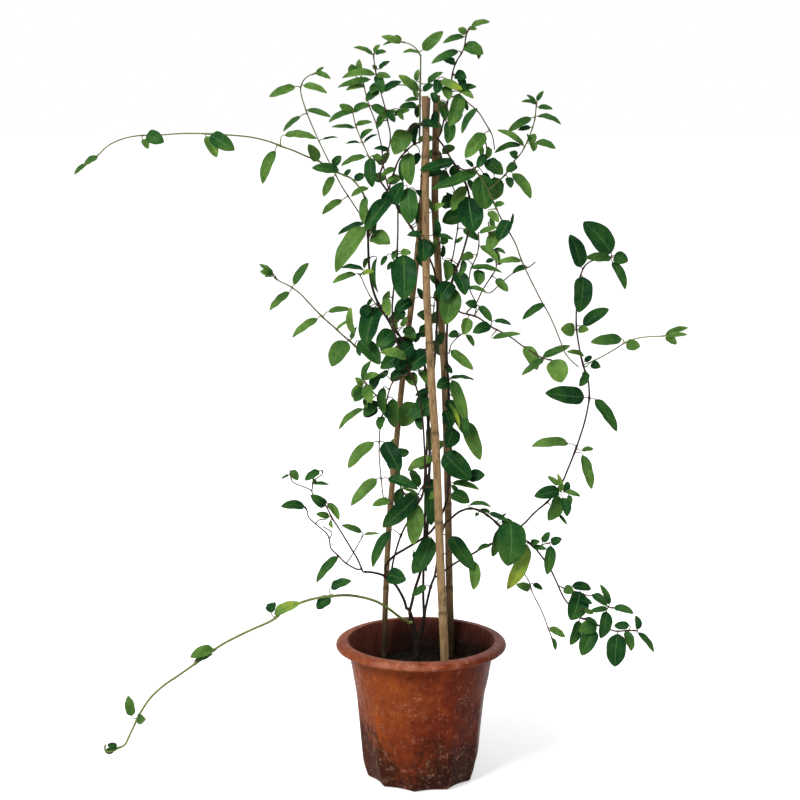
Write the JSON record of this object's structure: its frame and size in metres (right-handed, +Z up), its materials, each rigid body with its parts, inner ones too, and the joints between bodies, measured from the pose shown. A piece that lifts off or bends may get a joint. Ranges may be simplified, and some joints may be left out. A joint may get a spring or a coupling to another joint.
{
  "type": "potted climbing plant",
  "caption": "Young climbing honeysuckle in a fluted terracotta-brown plastic pot, its twining leafy stems held up by tall bamboo stakes, with arching side shoots",
  "frame": {"origin": "centre of the pot's flat base, on the surface that it stands on", "axes": "+Z up along the pot and the stakes, +X to the right as seen from the front, +Y to the back"},
  "size_m": [0.8584, 0.3499, 1.0984],
  "materials": {
    "terracotta_plastic": "satin",
    "potting_soil": "matte",
    "bamboo": "satin",
    "woody_stem": "matte",
    "leafy_shoot": "satin"
  },
  "bodies": {
    "root": {"pot": "terracotta_plastic", "soil": "potting_soil", "stake_front": "bamboo", "stake_right": "bamboo", "stake_left": "bamboo", "crown": "woody_stem", "cane_middle": "leafy_shoot", "cane_left": "leafy_shoot", "cane_right": "leafy_shoot", "branch_low_right": "leafy_shoot", "branch_tall_right": "leafy_shoot", "tendril_right": "leafy_shoot", "cane_back": "leafy_shoot", "cane_crossing": "leafy_shoot", "cane_slender": "leafy_shoot", "shoot_hanging_left": "leafy_shoot", "shoot_long_left": "leafy_shoot", "shoot_small_left": "leafy_shoot", "shoot_hooked": "leafy_shoot", "shoot_arching_far_left": "leafy_shoot", "twig_top": "leafy_shoot", "shoot_leader": "leafy_shoot", "shoot_top_left_front": "leafy_shoot", "shoot_top_left_middle": "leafy_shoot", "shoot_top_left_outer": "leafy_shoot", "shoot_top_right": "leafy_shoot", "vine_top_right": "leafy_shoot", "shoot_upper_right": "leafy_shoot", "vine_long_right": "leafy_shoot", "shoot_outer_right": "leafy_shoot", "shoot_inner_right": "leafy_shoot", "shoot_centre_right": "leafy_shoot", "shoot_bushy_right": "leafy_shoot", "twig_side_right": "leafy_shoot", "vine_hanging_right": "leafy_shoot", "twigs_low_left": "leafy_shoot", "runner_low_left": "leafy_shoot", "shoot_back_low": "leafy_shoot", "shoot_front_middle": "leafy_shoot", "shoot_back_middle": "leafy_shoot", "shoot_back_top": "leafy_shoot", "shoot_back_left": "leafy_shoot"}
  },
  "joints": []
}
